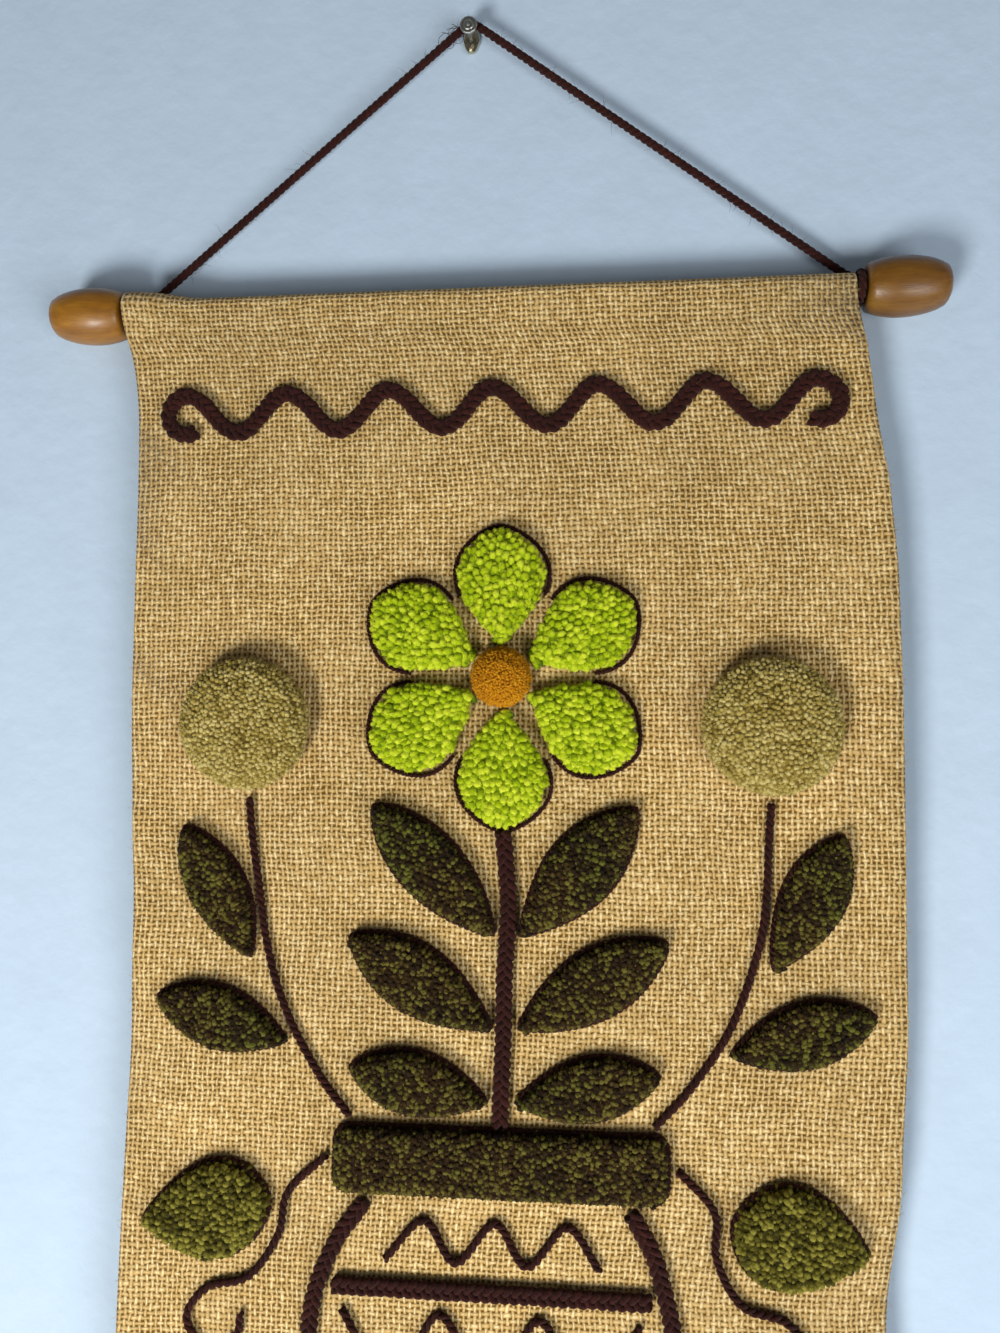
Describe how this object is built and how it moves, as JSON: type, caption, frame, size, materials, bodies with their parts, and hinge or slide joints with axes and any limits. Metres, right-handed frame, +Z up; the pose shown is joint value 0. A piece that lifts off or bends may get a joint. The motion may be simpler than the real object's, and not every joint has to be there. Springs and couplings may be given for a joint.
{
  "type": "yarn wall hanging on a wooden rod with a nail and picture hook",
  "caption": "Burlap panel with tufted yarn flowers, leaves and a pot, on a wooden rod with turned ends, hung by a yarn cord over a nail in a picture hook.",
  "frame": {"origin": "on the wall, at the middle of the picture hook's flat back, just above its nail", "axes": "+X to the viewer's right, -Y out of the wall towards the viewer, +Y into the wall, +Z up"},
  "size_m": [0.3566, 0.0343, 0.7352],
  "materials": {
    "burlap": "coarse plain weave of jute, golden tan",
    "brown_yarn": "dark brown acrylic yarn, braided or plied",
    "dark_olive_yarn": "dark olive cut pile",
    "light_olive_yarn": "olive cut pile",
    "lime_yarn": "lime loop pile",
    "pale_yarn": "pale khaki cut pile",
    "orange_yarn": "orange, clipped short and velvety",
    "honey_wood": "honey stain under clear varnish",
    "nail_steel": "dull bright steel",
    "hook_brass": "brass plate"
  },
  "bodies": {
    "root": {"border": "brown_yarn", "burlap_panel": "burlap", "cord_loop_left": "brown_yarn", "cord_loop_right": "brown_yarn", "dark_leaf_left_1": "dark_olive_yarn", "dark_leaf_left_2": "dark_olive_yarn", "dark_leaf_left_3": "dark_olive_yarn", "dark_leaf_left_4": "dark_olive_yarn", "dark_leaf_left_5": "dark_olive_yarn", "dark_leaf_right_1": "dark_olive_yarn", "dark_leaf_right_2": "dark_olive_yarn", "dark_leaf_right_3": "dark_olive_yarn", "dark_leaf_right_4": "dark_olive_yarn", "dark_leaf_right_5": "dark_olive_yarn", "finial_left": "honey_wood", "finial_right": "honey_wood", "flower_middle": "orange_yarn", "hanging_cord": "brown_yarn", "light_leaf_left": "light_olive_yarn", "light_leaf_right": "light_olive_yarn", "nail": "nail_steel", "petal_1": "lime_yarn", "petal_2": "lime_yarn", "petal_3": "lime_yarn", "petal_4": "lime_yarn", "petal_5": "lime_yarn", "petal_6": "lime_yarn", "picture_hook": "hook_brass", "pot_band_1": "brown_yarn", "pot_band_2": "brown_yarn", "pot_foot": "dark_olive_yarn", "pot_rim": "dark_olive_yarn", "pot_side_left": "brown_yarn", "pot_side_right": "brown_yarn", "pot_wave_1": "brown_yarn", "pot_wave_2": "brown_yarn", "pot_wave_3": "brown_yarn", "rod": "honey_wood", "round_tuft_left": "pale_yarn", "round_tuft_right": "pale_yarn", "stem_left": "brown_yarn", "stem_middle": "brown_yarn", "stem_right": "brown_yarn", "tendril_left": "brown_yarn", "tendril_right": "brown_yarn"}
  },
  "joints": []
}
